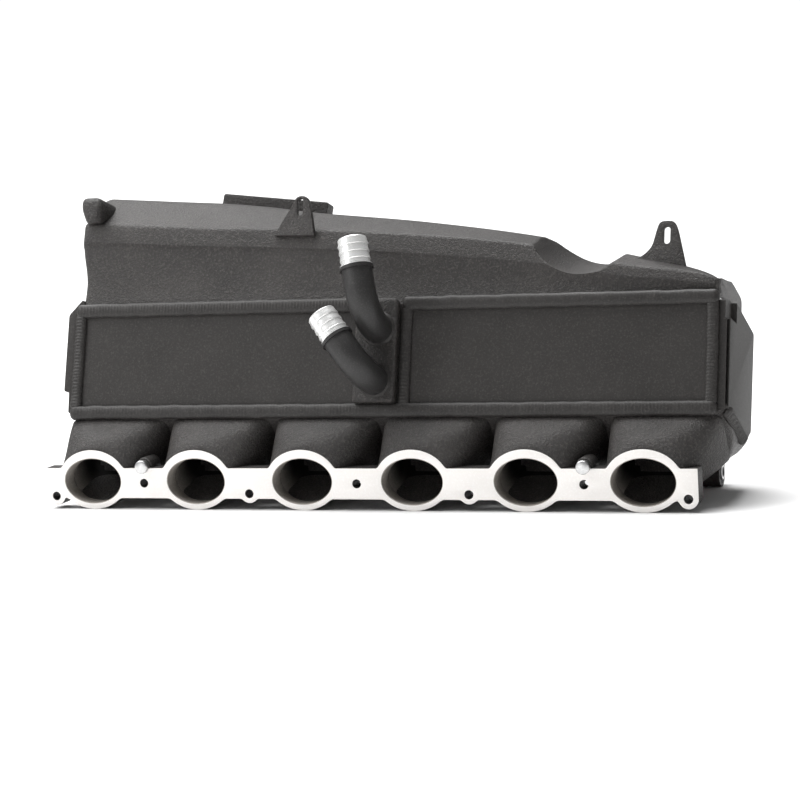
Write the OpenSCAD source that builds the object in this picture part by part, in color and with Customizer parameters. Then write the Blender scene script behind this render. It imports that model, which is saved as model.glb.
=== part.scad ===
// Intake manifold of a straight six, with a water-cooled charge cooler welded between two cast tanks.
//
// The origin is the middle stud hole on the face that bolts to the cylinder head: +X runs along the ports,
// -Y points at the head and +Z up. The cooler leans back over the ports, so it and the tanks on it are drawn
// in a leaning frame: x along the core, y into its depth, z up its front.

/* [Ports and flange] */
// Distance between neighbouring cylinders
port_pitch = 91; // [90:0.5:92]
// Width of a port
port_w = 49.6; // [44:0.2:50]
// Height of a port
port_h = 36; // [32:0.5:37]
// Thickness of the flange
flange_t = 16; // [14:1:16]
// Diameter of the stud holes
stud_d = 7; // [6:0.5:8]
// Height of the port centres above the upper row of studs
port_rise = 1.7; // [0:0.1:3]
// Wall of the cast runners and tanks
wall = 4.5; // [3.5:0.5:5]

/* [Charge cooler] */
// Backward lean of the core, in degrees
core_lean = 17.5; // [16:0.5:18]
// Depth of the core, front to rear
core_depth = 90; // [88:1:92]
// Height of the core between the two tanks
core_h = 84.5; // [82:0.5:86]
// Thickness of the outer sheets of the core
sheet = 3; // [2:0.5:4]
// Number of coolant tubes in each of the two rows
tube_count = 29; // [20:1:32]

/* [Coolant pipes] */
// Outer diameter of the coolant pipes
pipe_d = 24; // [20:1:25]
// Inner diameter of the coolant pipes and nipples
pipe_bore = 19; // [15:0.5:19]
// Radius of the pipe bends, on the centre line
bend_r = 28; // [26:1:30]

/* [Throttle side] */
// Bore of the throttle opening
throttle_d = 68; // [60:1:70]
// Side of the square throttle flange
throttle_side = 98; // [96:1:100]
// Circle through the four throttle bolts
throttle_pcd = 110; // [106:1:112]

/* [Injectors and supports] */
// Bore of the six injector seats
injector_d = 14; // [12:0.5:14]
// Outer diameter of the rear support eyes
eye_d = 23; // [22:0.5:24]

/* [Hidden] */
$fn = 64;
eps = 0.5;

// Ports, lobes and studs, in the plane of the flange
port_x = [for (i = [0:5]) (i - 2.5) * port_pitch];
lobe_w = 60;
lobe_h = 48;
lobe_z = 1.1;
lobe_low = lobe_z - lobe_h / 2;
strap_z = [-14, 10.4];
strap_x = [-269.8, 269];
ear_r = 7.6;
ear = [261.3, -12.5];
low_lobe_r = 7.5;
high_stud = -port_rise;
low_stud = -9.9;
pin_r = 5.4;
pin_shank_r = 5;
pin = [2 * port_pitch + 0.3, 11.7];
pin_out = 4;
pin_in = 12;
pin_boss_r = 6.8;

// Lower tank and the slanted wall that the runners open through, as [y, z]
seat_front = [25.5, 47.5];
seat_rear = [57, 3.5];
tank_x = [-255, 279];
runner_lean = 12.5;
mouth_w = 88;
mouth_h = 51;
mouth_slope = atan2(seat_rear[0] - seat_front[0], seat_front[1] - seat_rear[1]);
mouth_mid = (seat_front + seat_rear) / 2;
rings = 6;
ring_points = 32;

// The leaning core
core_foot = [28, 57.5];
core_x = [-256, 279];
core_low = -6;
core_top = core_low + core_h;
rail_t = 3;
core_in = [core_x[0] + rail_t, core_x[1] - rail_t];
end_t = 9;
box_d = 11;
tube_w = 4;
tube_gap = 4;
pass_z = core_low + core_h / 2;

// Beads of weld
bead_w = 11.5;
bead_h = 3.5;

// Coolant port plate and the two pipes on it: [x, z] where a pipe leaves, its lean and its straight length
plate_x = [-8, 27];
plate_z = [-1, 82];
plate_t = 9;
stub = 2;
upper_port = [12, 57.5];
upper_turn = -12.4;
upper_run = 16;
lower_port = [10.5, 16.5];
lower_turn = -36.9;
lower_run = 8;
collar_r = 13.3;
collar_t = 2.5;
nipple_l = 23;
nipple_r = 11.4;

// Upper tank: [x, height of the crease, height of the ridge, depth of the ridge]
stations = [[-254, 139, 180, 30], [-205, 135.5, 176, 30], [-145, 131.5, 170.5, 30], [-59, 127.5, 160, 30],
            [28, 121, 150, 30], [131, 110, 133.4, 28], [205, 97, 115.5, 18], [252, 92, 104, 16],
            [270, 89, 97, 14], [279, 87, 91, 10]];
scoop_r = 42;
scoop_at = [170, 193.3];

// Throttle flange, rolled to follow the falling ridge: [x, z] of its centre
throttle_at = [-129.5, 144];
throttle_roll = 6.7;
throttle_t = 14;
insert_r = 4.2;
thread_r = 2.5;

// Injector seats, on an axis that dips to the rear
seat_at = [53, -4.5];
seat_dip = 15;
bung_r = 9;
bung_in = 4;
bung_out = 28;
lip = 3;

// Rear supports
eye_x = [[-245, -227], [245, 263]];
eye_y = 113;
eye_z = lobe_low + eye_d / 2;
bush_r = 9;
sleeve_r = 6;
sleeve_bore = 4.2;

// Height of everything that is laid out from the port centres
module from_ports() { translate([0, 0, port_rise]) children(); }

// The leaning frame of the core
module leaning() {
  from_ports() translate([0, core_foot[0], core_foot[1]]) rotate([-core_lean, 0, 0]) children();
}

// Pushes a flat shape in x and z along +Y
module along_y(y0, y1) { translate([0, y1, 0]) rotate([90, 0, 0]) linear_extrude(y1 - y0) children(); }

// Pushes a flat shape in y and z along +X
module along_x(x0, x1) {
  translate([x0, 0, 0]) rotate([90, 0, 90]) linear_extrude(x1 - x0) children();
}

module block(x, y, z) { translate([x[0], y[0], z[0]]) cube([x[1] - x[0], y[1] - y[0], z[1] - z[0]]); }

function mix(a, b, s) = a + (b - a) * s;
function signed_power(v, e) = sign(v) * pow(abs(v), e);
function oval_point(a, w, h, e) = [w / 2 * signed_power(cos(a), 2 / e), h / 2 * signed_power(sin(a), 2 / e)];
function oval(w, h, e) = [for (i = [0:ring_points - 1]) oval_point(360 * i / ring_points, w, h, e)];

// Middle of a runner, as [y, z]: s is 0 at the flange and 1 at the mouth
function runner_mid(s, z0) =
  let (a = [flange_t, z0], b = [flange_t + 14, z0])
  (1 - s) * (1 - s) * a + 2 * s * (1 - s) * b + s * s * mouth_mid;
function runner_ring(x, s, w, h, z0, wall_in) =
  let (m = runner_mid(s, z0), tilt = mouth_slope * s, grow = s * s * (3 - 2 * s))
  [for (p = oval(mix(w, mouth_w - wall_in, grow), mix(h, mouth_h - wall_in, s), mix(2, 5, s)))
    [x + runner_lean * grow + p[0], m[0] - p[1] * sin(tilt), m[1] + p[1] * cos(tilt)]];

// A closed tube between an outer and an inner stack of rings
module tube_skin(outer, inner) {
  n = ring_points;
  last = len(outer) - 1;
  count = len(outer) * n;
  points = concat([for (r = outer) for (p = r) p], [for (r = inner) for (p = r) p]);
  faces = concat(
    [for (j = [0:last - 1]) for (i = [0:n - 1]) let (k = (i + 1) % n)
      each [[j * n + i, (j + 1) * n + k, (j + 1) * n + i], [j * n + i, j * n + k, (j + 1) * n + k]]],
    [for (j = [0:last - 1]) for (i = [0:n - 1]) let (k = (i + 1) % n, c = count)
      each [[c + j * n + i, c + (j + 1) * n + i, c + (j + 1) * n + k],
            [c + j * n + i, c + (j + 1) * n + k, c + j * n + k]]],
    [for (i = [0:n - 1]) let (k = (i + 1) % n, c = count)
      each [[i, c + k, k], [i, c + i, c + k]]],
    [for (i = [0:n - 1]) let (k = (i + 1) % n, o = last * n, c = count + last * n)
      each [[o + i, o + k, c + k], [o + i, c + k, c + i]]]);
  polyhedron(points, faces, convexity = 6);
}

module port_shape() { scale([port_w / port_h, 1]) circle(d = port_h); }

module flange_shape() {
  for (x = port_x) translate([x, lobe_z]) scale([lobe_w / lobe_h, 1]) circle(d = lobe_h);
  translate([strap_x[0], strap_z[0]]) square([strap_x[1] - strap_x[0], strap_z[1] - strap_z[0]]);
  for (x = [-port_pitch, port_pitch]) translate([x, low_stud]) circle(r = low_lobe_r);
  for (side = [-1, 1]) translate([side * ear[0], ear[1]]) circle(r = ear_r);
}

module stud_hole(x, z) {
  translate([x, -eps, z]) rotate([-90, 0, 0]) cylinder(d = stud_d, h = flange_t + 2 * eps);
}

module at_pins(y) {
  for (side = [-1, 1]) translate([side * pin[0], y, pin[1]]) rotate([-90, 0, 0]) children();
}

module port_flange() {
  color("gainsboro") from_ports() difference() {
    union() {
      along_y(0, flange_t) flange_shape();
      at_pins(pin_out) cylinder(r = pin_boss_r, h = flange_t - pin_out);
    }
    for (x = port_x) along_y(-eps, flange_t + eps) translate([x, 0]) port_shape();
    for (x = [-2 * port_pitch, 0, 2 * port_pitch]) stud_hole(x, high_stud);
    for (x = [-port_pitch, port_pitch]) stud_hole(x, low_stud);
    for (side = [-1, 1]) stud_hole(side * ear[0], ear[1]);
    at_pins(-eps) cylinder(r = pin_shank_r, h = pin_in + eps);
    at_pins(-eps) cylinder(r = pin_r + 0.4, h = 2 * eps);
  }
}

module locating_pins() {
  color("silver") from_ports() difference() {
    union() {
      at_pins(-pin_out) cylinder(r = pin_r, h = pin_out);
      at_pins(-pin_out) cylinder(r = pin_shank_r, h = pin_out + pin_in);
    }
    at_pins(-pin_out - eps) cylinder(r = 1.8, h = 6);
  }
}

module on_seat(x) { translate([x, seat_at[0], seat_at[1]]) rotate([-90 - seat_dip, 0, 0]) children(); }

module bung_body(x, r) { on_seat(x) translate([0, 0, -bung_in]) cylinder(r = r, h = bung_in + bung_out); }

module runner(i) {
  steps = [for (j = [0:rings]) j / rings];
  color("dimgray") from_ports() difference() {
    tube_skin([for (s = steps) runner_ring(port_x[i], s, lobe_w, lobe_h, lobe_z, 0)],
              [for (s = steps) runner_ring(port_x[i], s, port_w, port_h, 0, 2 * wall)]);
    bung_body(port_x[i], bung_r);
  }
}

module lower_outline() {
  polygon([[26.2, 51.8], seat_front, seat_rear, [64, 1], [104, 1], [117, 5.5], [122, 14], [112, 24.7]]);
}

module lower_hollow() {
  polygon([[31, 52.6], [30.2, 48.5], [59.6, 7.6], [65.5, 5.5], [103, 5.5], [114, 9.2], [116.8, 14.8],
           [109, 28]]);
}

module lower_tank() {
  color("dimgray") from_ports() difference() {
    along_x(tank_x[0], tank_x[1]) lower_outline();
    along_x(tank_x[0] + wall, tank_x[1] - wall) lower_hollow();
    for (x = port_x) {
      translate([x + runner_lean, mouth_mid[0], mouth_mid[1]]) rotate([90 + mouth_slope, 0, 0])
        linear_extrude(4 * wall, center = true) polygon(oval(mouth_w - 2 * wall, mouth_h - 2 * wall, 5));
      bung_body(x, bung_r);
    }
  }
}

module injector_bungs() {
  color("dimgray") from_ports() for (x = port_x) difference() {
    bung_body(x, bung_r);
    on_seat(x) translate([0, 0, -bung_in - eps]) cylinder(d = injector_d - 5, h = bung_out);
    on_seat(x) translate([0, 0, lip - bung_in]) cylinder(d = injector_d, h = bung_in + bung_out);
  }
}

module injector_plugs() {
  groove = 8;
  color("firebrick") from_ports() for (x = port_x) on_seat(x) difference() {
    union() {
      translate([0, 0, lip - bung_in]) cylinder(d = injector_d - 0.1, h = bung_in + bung_out - lip);
      translate([0, 0, bung_out]) cylinder(r = bung_r, h = 3);
    }
    translate([0, 0, groove]) difference() {
      cylinder(d = injector_d + 1, h = 2.4);
      translate([0, 0, -eps]) cylinder(d = injector_d - 4, h = 2.4 + 2 * eps);
    }
    translate([0, 0, bung_out]) cylinder(d = 6, h = 4, $fn = 6);
  }
}

module plug_seals() {
  color("black") from_ports() for (x = port_x) on_seat(x) translate([0, 0, 9.2])
    rotate_extrude() translate([injector_d / 2 - 1, 0]) circle(r = 0.98, $fn = 24);
}

// A bead of weld: length along x, seated on y = 0 and standing towards -y
module bead(x0, x1, z) {
  along_x(x0, x1) polygon([for (a = [0:20:180]) [-bead_h * sin(a), z + bead_w / 2 * cos(a)]]);
}

module upright_bead(z0, z1, x) {
  translate([0, 0, z0]) linear_extrude(z1 - z0)
    polygon([for (a = [0:20:180]) [x + bead_w / 2 * cos(a), -bead_h * sin(a)]]);
}

bead_top = core_top;
bead_bottom = core_low;
side_bead_z = [bead_bottom + bead_w / 2, bead_top - bead_w / 2];

module weld_top_left() { color("#3c3836") leaning() bead(core_x[0] - 2, plate_x[0], bead_top); }
module weld_top_right() { color("#3c3836") leaning() bead(plate_x[1], core_x[1] + 2, bead_top); }
module weld_bottom() { color("#3c3836") leaning() bead(core_x[0] - 2, core_x[1] + 2, bead_bottom); }
module weld_left() { color("#3c3836") leaning() upright_bead(side_bead_z[0], side_bead_z[1], core_x[0] + 4); }
module weld_centre() {
  color("#3c3836") leaning() upright_bead(side_bead_z[0], side_bead_z[1], plate_x[1] + bead_w / 2);
}
module weld_right() {
  color("#3c3836") leaning() upright_bead(side_bead_z[0], side_bead_z[1], core_x[1] - 4);
}

module rear_bead(z) {
  leaning() translate([0, core_depth, 0]) mirror([0, 1, 0]) bead(core_x[0] - 2, core_x[1] + 2, z);
}
module weld_rear_top() { color("#3c3836") rear_bead(bead_top); }
module weld_rear_bottom() { color("#3c3836") rear_bead(bead_bottom); }

module weld_end_seam() {
  color("#3c3836") leaning() translate([tank_x[1], 20, -12]) rotate([-12, 0, 0]) rotate([0, 0, 90])
    bead(0, 66, 0);
}

tube_pitch = (core_in[1] - core_in[0]) / (tube_count + 1);
function tube_x(i) = core_in[0] + (i + 1) * tube_pitch;
header_y = [sheet + box_d, 2 * sheet + box_d];
rear_header_y = [core_depth - header_y[1], core_depth - header_y[0]];
row_z = [[core_low + tube_gap, pass_z - tube_gap / 2], [pass_z + tube_gap / 2, core_top - tube_gap]];

module tube_bodies(grow, skin) {
  for (i = [0:tube_count - 1]) for (r = row_z)
    block([tube_x(i) - tube_w / 2 + skin, tube_x(i) + tube_w / 2 - skin],
          [header_y[0] - grow, rear_header_y[1] + grow], [r[0] + skin, r[1] - skin]);
}

module core_tubes() { color("silver") leaning() difference() { tube_bodies(0, 0); tube_bodies(eps, 0.8); } }

// One folded fin strip fills each gap between tubes, from the front header to the rear one
module core_fins() {
  folds = 14;
  fold_w = 1.6;
  y0 = header_y[1];
  step = (rear_header_y[0] - y0) / folds;
  color("lightgray") leaning() for (i = [-1:tube_count - 1]) {
    x0 = i < 0 ? core_in[0] : tube_x(i) + tube_w / 2;
    x1 = i == tube_count - 1 ? core_in[1] : tube_x(i + 1) - tube_w / 2;
    line = [for (k = [0:folds]) [k % 2 == 0 ? x0 : x1 - fold_w, y0 + k * step]];
    back = [for (k = [folds:-1:0]) line[k] + [fold_w, 0]];
    translate([0, 0, core_low + tube_gap]) linear_extrude(core_h - 2 * tube_gap) polygon(concat(line, back));
  }
}

module header(y) {
  leaning() difference() {
    block(core_in, y, [core_low, core_top]);
    tube_bodies(eps, 0);
  }
}
module front_header() { color("silver") header(header_y); }
module rear_header() { color("silver") header(rear_header_y); }

// A shallow channel that closes one side of the coolant space, open towards +y, with a lip above and below
module channel(x, lip_x) {
  block(x, [0, sheet], [core_low, core_top]);
  for (z = [core_low, core_top - sheet]) block(lip_x, [sheet, sheet + box_d], [z, z + sheet]);
}

module core_rail(x) { color("silver") leaning() block(x, [sheet, core_depth - sheet], [core_low, core_top]); }

module port_bores(y0, y1) {
  for (p = [upper_port, lower_port]) translate([p[0], y0, p[1]]) rotate([-90, 0, 0])
    cylinder(d = pipe_bore, h = y1 - y0);
}

module front_panel_left() {
  color("#454240") leaning() difference() {
    channel([core_x[0], plate_x[1]], [core_in[0], plate_x[1]]);
    port_bores(-eps, sheet + eps);
  }
}
module front_panel_right() {
  color("#454240") leaning() channel([plate_x[1], core_x[1]], [plate_x[1], core_in[1]]);
}
module rear_cover() {
  color("#454240") leaning() translate([0, core_depth, 0]) mirror([0, 1, 0]) channel(core_x, core_in);
}
module pass_divider() {
  color("silver") leaning() block(core_in, [sheet, header_y[0]], [pass_z - 1, pass_z + 1]);
}

module end_plate_left() {
  x = core_x[0];
  color("#3c3836") difference() {
    leaning() along_y(1, core_depth)
      polygon([[x - end_t, 12], [x - end_t, 76], [x + 3, 89], [x + 6, 84], [x + 6, core_top], [x, core_top],
               [x, core_low], [x - 4, core_low], [x - 4.5, 12]]);
    tank_outside();
  }
}
module end_plate_right() {
  x = core_x[1] + end_t;
  color("#3c3836") leaning() difference() {
    along_x(core_x[1], x)
      polygon([[1, core_low], [1, 71], [17, 79], [91, 67], [88, -12], [64, -21], [30, -12]]);
    block([x - 4, x + 1], [-1, 24], [62, 82]);
    block([x - 2.6, x - 0.6], [-1, 5], [-4, 68]);
  }
}

module coolant_port_plate() {
  bevel = 3;
  x = plate_x;
  z = plate_z;
  color("#3c3836") leaning() difference() {
    intersection() {
      translate([0, 0, z[0]]) linear_extrude(z[1] - z[0])
        polygon([[x[0], 0], [x[0], bevel - plate_t], [x[0] + bevel, -plate_t], [x[1] - bevel, -plate_t],
                 [x[1], bevel - plate_t], [x[1], 0]]);
      along_x(x[0], x[1])
        polygon([[0, z[0]], [bevel - plate_t, z[0]], [-plate_t, z[0] + bevel], [-plate_t, z[1] - bevel],
                 [bevel - plate_t, z[1]], [0, z[1]]]);
    }
    port_bores(-plate_t - eps, eps);
  }
}

// The frame of one pipe: the origin on the port plate, -y along the stub and +z the way the bend turns
module at_port(p, turn) { leaning() translate([p[0], -plate_t, p[1]]) rotate([0, turn, 0]) children(); }

module pipe_path(d, run, over) {
  translate([0, over, 0]) rotate([90, 0, 0]) cylinder(d = d, h = stub + over);
  translate([0, -stub, bend_r]) rotate(a = 180, v = [1, 0, -1])
    rotate_extrude(angle = 90) translate([bend_r, 0]) circle(d = d);
  translate([0, -stub - bend_r, bend_r]) cylinder(d = d, h = run + over);
}

module coolant_pipe(p, turn, run) {
  color("#2f2d2c") at_port(p, turn) difference() {
    union() {
      pipe_path(pipe_d, run, 0);
      translate([0, -stub - bend_r, bend_r + run - collar_t]) cylinder(r = collar_r, h = collar_t);
    }
    pipe_path(pipe_bore, run, eps);
  }
}

module hose_nipple(p, turn, run) {
  color("whitesmoke") at_port(p, turn) translate([0, -stub - bend_r, bend_r + run]) difference() {
    union() {
      cylinder(r = collar_r - 0.4, h = 1);
      cylinder(r = nipple_r, h = nipple_l);
      for (z = [5, 11, 17]) translate([0, 0, z]) cylinder(r1 = nipple_r + 0.7, r2 = nipple_r, h = 4);
    }
    translate([0, 0, -eps]) cylinder(d = pipe_bore, h = nipple_l + 2 * eps);
  }
}

module pipe_welds() {
  color("#3c3836") for (p = [upper_port, lower_port]) at_port(p, 0) rotate([90, 0, 0]) rotate_extrude()
    polygon([[pipe_d / 2, 0], [pipe_d / 2 + 1.6, 0], [pipe_d / 2, 1.6]]);
}

// One slice of the upper tank at a station, as [y, z]; t is the wall taken off it
function slice(s, t) =
  let (foot = core_top - (t > 0 ? eps : 0), k = s[3] / 30, c = s[1] - 2.2 * k - t / 2, r = s[2] - t,
       d = s[3] + 8 * k)
  [[0.5 + t, foot], [1 + 2 * k + t, mix(core_top, c, 0.3)], [1 + 2 * k + t, mix(core_top, c, 0.65)],
   [t + 0.2, c], [1.5 * k + t, c + 16 * k], [mix(1.5 * k, d, 0.5) + t, mix(c + 16 * k, r + k, 0.55)],
   [d + t, r + 1.4 * k], [66, r + 4 * k], [core_depth - 6 - t, r + k],
   [core_depth - t, mix(core_top, r, 0.88)], [core_depth - t, foot]];

// Lofts a row of equal slices along x
module loft(xs, slices) {
  n = len(slices[0]);
  last = len(xs) - 1;
  points = [for (j = [0:last]) for (p = slices[j]) [xs[j], p[0], p[1]]];
  faces = concat(
    [[for (i = [n - 1:-1:0]) i]],
    [[for (i = [0:n - 1]) last * n + i]],
    [for (j = [0:last - 1]) for (i = [0:n - 1]) let (k = (i + 1) % n)
      each [[j * n + i, (j + 1) * n + k, (j + 1) * n + i], [j * n + i, j * n + k, (j + 1) * n + k]]]);
  polyhedron(points, faces, convexity = 6);
}

function round_outline(r, n) = [for (i = [0:n - 1]) r * [cos(360 * i / n), sin(360 * i / n)]];

module scoop(r) {
  from_ports() translate([scoop_at[0], 0, scoop_at[1]]) along_y(-50, 250) polygon(round_outline(r, 72));
}

module tank_outside() {
  difference() {
    leaning() loft([for (s = stations) s[0]], [for (s = stations) slice(s, 0)]);
    scoop(scoop_r);
  }
}

module tank_hollow() {
  last = len(stations) - 1;
  xs = [for (j = [0:last]) stations[j][0] + (j == 0 ? wall : j == last ? -wall : 0)];
  difference() {
    leaning() loft(xs, [for (s = stations) slice(s, wall)]);
    scoop(scoop_r + wall);
  }
}

module at_throttle() {
  leaning() translate([throttle_at[0], core_depth, throttle_at[1]]) rotate([0, throttle_roll, 0]) children();
}

module throttle_bolts(r, y0, y1) {
  for (a = [45:90:315]) translate([throttle_pcd / 2 * cos(a), y0, throttle_pcd / 2 * sin(a)])
    rotate([-90, 0, 0]) cylinder(r = r, h = y1 - y0);
}

module upper_tank() {
  color("dimgray") difference() {
    tank_outside();
    tank_hollow();
    at_throttle() along_y(-3 * wall, wall) polygon(round_outline(throttle_d / 2 + 1, 48));
  }
}

module throttle_flange() {
  h = throttle_side / 2;
  cut = 10;
  color("dimgray") at_throttle() difference() {
    along_y(0, throttle_t)
      polygon([[-h, cut - h], [cut - h, -h], [h - cut, -h], [h, cut - h], [h, h], [-h, h]]);
    translate([0, -eps, 0]) rotate([-90, 0, 0]) cylinder(d = throttle_d, h = throttle_t + 2 * eps);
    translate([0, throttle_t - 2.5, 0]) rotate([-90, 0, 0]) difference() {
      cylinder(r = throttle_d / 2 + 6.5, h = 3);
      translate([0, 0, -eps]) cylinder(r = throttle_d / 2 + 3, h = 4);
    }
    throttle_bolts(insert_r, 3, throttle_t + eps);
  }
}

module throttle_seal() {
  color("black") at_throttle() translate([0, throttle_t - 0.8, 0]) rotate([-90, 0, 0])
    rotate_extrude() translate([throttle_d / 2 + 4.75, 0]) circle(r = 1.7, $fn = 24);
}

module thread_inserts() {
  color("silver") at_throttle() difference() {
    throttle_bolts(insert_r, 3, throttle_t);
    throttle_bolts(thread_r, 0, throttle_t + eps);
  }
}

module corner_boss() {
  color("dimgray") difference() {
    leaning() along_y(-6, 40)
      polygon([[-253, 152], [-258.5, 163], [-258, 171], [-254, 174.5],
               [-242, 174.5], [-238, 169], [-238, 158], [-240, 152]]);
    tank_outside();
  }
}

function arc(at, r, from) = [for (a = [from:20:from + 180]) at + r * [cos(a), sin(a)]];

// A tab with a round top and an 8 mm slot in it: [x, z] of the round, its radius and the points of its foot
module tab_shape(top, r, foot) {
  difference() {
    polygon(concat(arc(top, r, 0), foot));
    polygon(concat(arc(top, 2.5, 0), arc(top - [0, 8], 2.5, 180)));
  }
}

module cover_tab_left() {
  color("dimgray") difference() {
    leaning() along_y(-2.5, 2) tab_shape([-62, 161], 7.5, [[-84, 136.5], [-49, 136]]);
    tank_outside();
  }
}
module cover_tab_right() {
  foot = [[222.5, 122], [216, 115.5], [208, 112], [212, 98], [248, 98], [249.7, 105]];
  color("dimgray") difference() {
    leaning() along_y(16, 20) tab_shape([234, 133.5], 8.5, foot);
    tank_outside();
  }
}

module along_eye(x0, x1, r) {
  translate([x0, eye_y, eye_z]) rotate([0, 90, 0]) cylinder(r = r, h = x1 - x0);
}

module support_eyes() {
  color("#3c3836") from_ports() for (x = eye_x) difference() {
    union() {
      along_eye(x[0], x[1], eye_d / 2);
      block([x[0] + 2, x[1] - 2], [eye_y - 8, eye_y + 8], [eye_z, 12]);
    }
    along_eye(x[0] - eps, x[1] + eps, bush_r);
    along_x(x[0] - eps, x[1] + eps) lower_outline();
  }
}
module rubber_bushes() {
  color("black") from_ports() for (x = eye_x) difference() {
    along_eye(x[0], x[1], bush_r);
    along_eye(x[0] - eps, x[1] + eps, sleeve_r);
  }
}
module steel_sleeves() {
  color("silver") from_ports() for (x = eye_x) difference() {
    along_eye(x[0] - 1, x[1] + 1, sleeve_r);
    along_eye(x[0] - 2, x[1] + 2, sleeve_bore);
  }
}

port_flange();
runner(0);  // runner_1
runner(1);  // runner_2
runner(2);  // runner_3
runner(3);  // runner_4
runner(4);  // runner_5
runner(5);  // runner_6
lower_tank();
injector_bungs();
injector_plugs();
plug_seals();
locating_pins();
core_tubes();
core_fins();
front_header();
rear_header();
core_rail([core_x[0], core_in[0]]);  // core_rail_left
core_rail([core_in[1], core_x[1]]);  // core_rail_right
front_panel_left();
front_panel_right();
pass_divider();
rear_cover();
end_plate_left();
end_plate_right();
coolant_port_plate();
coolant_pipe(upper_port, upper_turn, upper_run);  // coolant_pipe_upper
coolant_pipe(lower_port, lower_turn, lower_run);  // coolant_pipe_lower
hose_nipple(upper_port, upper_turn, upper_run);  // hose_nipple_upper
hose_nipple(lower_port, lower_turn, lower_run);  // hose_nipple_lower
pipe_welds();
weld_top_left();
weld_top_right();
weld_bottom();
weld_left();
weld_centre();
weld_right();
weld_rear_top();
weld_rear_bottom();
weld_end_seam();
upper_tank();
throttle_flange();
throttle_seal();
thread_inserts();
corner_boss();
cover_tab_left();
cover_tab_right();
support_eyes();
rubber_bushes();
steel_sleeves();
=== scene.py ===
import math

import bpy
from mathutils import Matrix, Vector, noise


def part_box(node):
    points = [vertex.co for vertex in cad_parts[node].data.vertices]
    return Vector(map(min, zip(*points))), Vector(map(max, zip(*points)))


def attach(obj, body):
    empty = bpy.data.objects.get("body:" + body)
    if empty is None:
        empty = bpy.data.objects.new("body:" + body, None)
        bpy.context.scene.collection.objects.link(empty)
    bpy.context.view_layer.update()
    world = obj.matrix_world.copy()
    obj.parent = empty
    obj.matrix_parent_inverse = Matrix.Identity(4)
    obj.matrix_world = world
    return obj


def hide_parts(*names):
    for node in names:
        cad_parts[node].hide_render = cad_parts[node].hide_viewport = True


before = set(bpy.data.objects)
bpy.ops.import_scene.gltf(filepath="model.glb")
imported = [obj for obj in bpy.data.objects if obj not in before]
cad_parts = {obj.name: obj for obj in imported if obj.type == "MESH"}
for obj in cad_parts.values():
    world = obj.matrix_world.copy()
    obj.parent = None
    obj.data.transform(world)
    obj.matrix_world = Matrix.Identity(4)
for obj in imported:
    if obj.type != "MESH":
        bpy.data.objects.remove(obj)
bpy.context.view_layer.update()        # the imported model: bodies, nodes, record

mm = 0.001

# The core leans back: x runs along it, n into its depth and w up its front, all in millimetres
core = {"lean": math.radians(17.5), "depth": 90, "low": -6, "top": 78.5, "left": -256, "right": 279}
headerDepth = 14         # from the face of the front panels to the front header
lobeDrop = 22.9          # from the port centres to the underside of the lobes
portPitch = 91
sinLean, cosLean = math.sin(core["lean"]), math.cos(core["lean"])
headerLow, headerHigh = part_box("front_header")
flangeLow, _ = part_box("port_flange")
coreY = headerLow.y / mm - headerDepth * cosLean - core["low"] * sinLean
coreZ = headerHigh.z / mm + headerDepth * sinLean - core["top"] * cosLean
portZ = flangeLow.z / mm + lobeDrop
portX = [(i - 2.5) * portPitch for i in range(6)]
floorZ = flangeLow.z


def lean(x, n, w):
    return Vector((x, coreY + n * cosLean + w * sinLean, coreZ - n * sinLean + w * cosLean)) * mm


def fromPorts(x, y, z):
    return Vector((x, y, z + portZ)) * mm


def mix(a, b, t):
    return a + (b - a) * t


def ramp(a, b, v):
    t = min(1.0, max(0.0, (v - a) / (b - a)))
    return t * t * (3 - 2 * t)


def softMax(a, b, k):
    h = max(k - abs(a - b), 0) / k
    return max(a, b) + h * h * k / 4


def softMin(a, b, k):
    return -softMax(-a, -b, k)


def power(v, e):
    return math.copysign(abs(v) ** e, v)


def deselectAll():
    if bpy.context.object and bpy.context.object.mode != "OBJECT":
        bpy.ops.object.mode_set(mode="OBJECT")
    bpy.ops.object.select_all(action="DESELECT")


def pick(piece):
    deselectAll()
    piece.select_set(True)
    bpy.context.view_layer.objects.active = piece


def tidyMesh(piece):
    pick(piece)
    bpy.ops.object.mode_set(mode="EDIT")
    bpy.ops.mesh.select_all(action="SELECT")
    bpy.ops.mesh.remove_doubles(threshold=0.00001)
    bpy.ops.mesh.normals_make_consistent(inside=False)
    bpy.ops.object.mode_set(mode="OBJECT")


# A grid whose every point goes where place(u, v) says, with its seams and poles closed
def wrappedGrid(name, across, along, place):
    deselectAll()
    bpy.ops.mesh.primitive_grid_add(x_subdivisions=across, y_subdivisions=along, size=2)
    piece = bpy.context.object
    piece.name = name
    for vert in piece.data.vertices:
        vert.co = place((vert.co.x + 1) / 2, (vert.co.y + 1) / 2)
    tidyMesh(piece)
    return piece


# A flat outline with holes, pushed out to a plate with softened edges; turn puts it in place
def plateFrom(name, outline, holes, thick, soften, turn):
    deselectAll()
    shape = bpy.data.curves.new(name, "CURVE")
    shape.dimensions = "2D"
    shape.fill_mode = "BOTH"
    shape.extrude = (thick / 2 - soften) * mm
    shape.bevel_depth = soften * mm
    shape.bevel_resolution = 2
    shape.offset = -soften * mm
    for loop in [outline] + holes:
        spline = shape.splines.new("POLY")
        spline.points.add(len(loop) - 1)
        for point, (x, y) in zip(spline.points, loop):
            point.co = (x * mm, y * mm, 0, 1)
        spline.use_cyclic_u = True
    piece = bpy.data.objects.new(name, shape)
    bpy.context.scene.collection.objects.link(piece)
    pick(piece)
    bpy.ops.object.convert(target="MESH")
    piece = bpy.context.object
    piece.data.transform(turn)
    tidyMesh(piece)
    return piece


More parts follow.
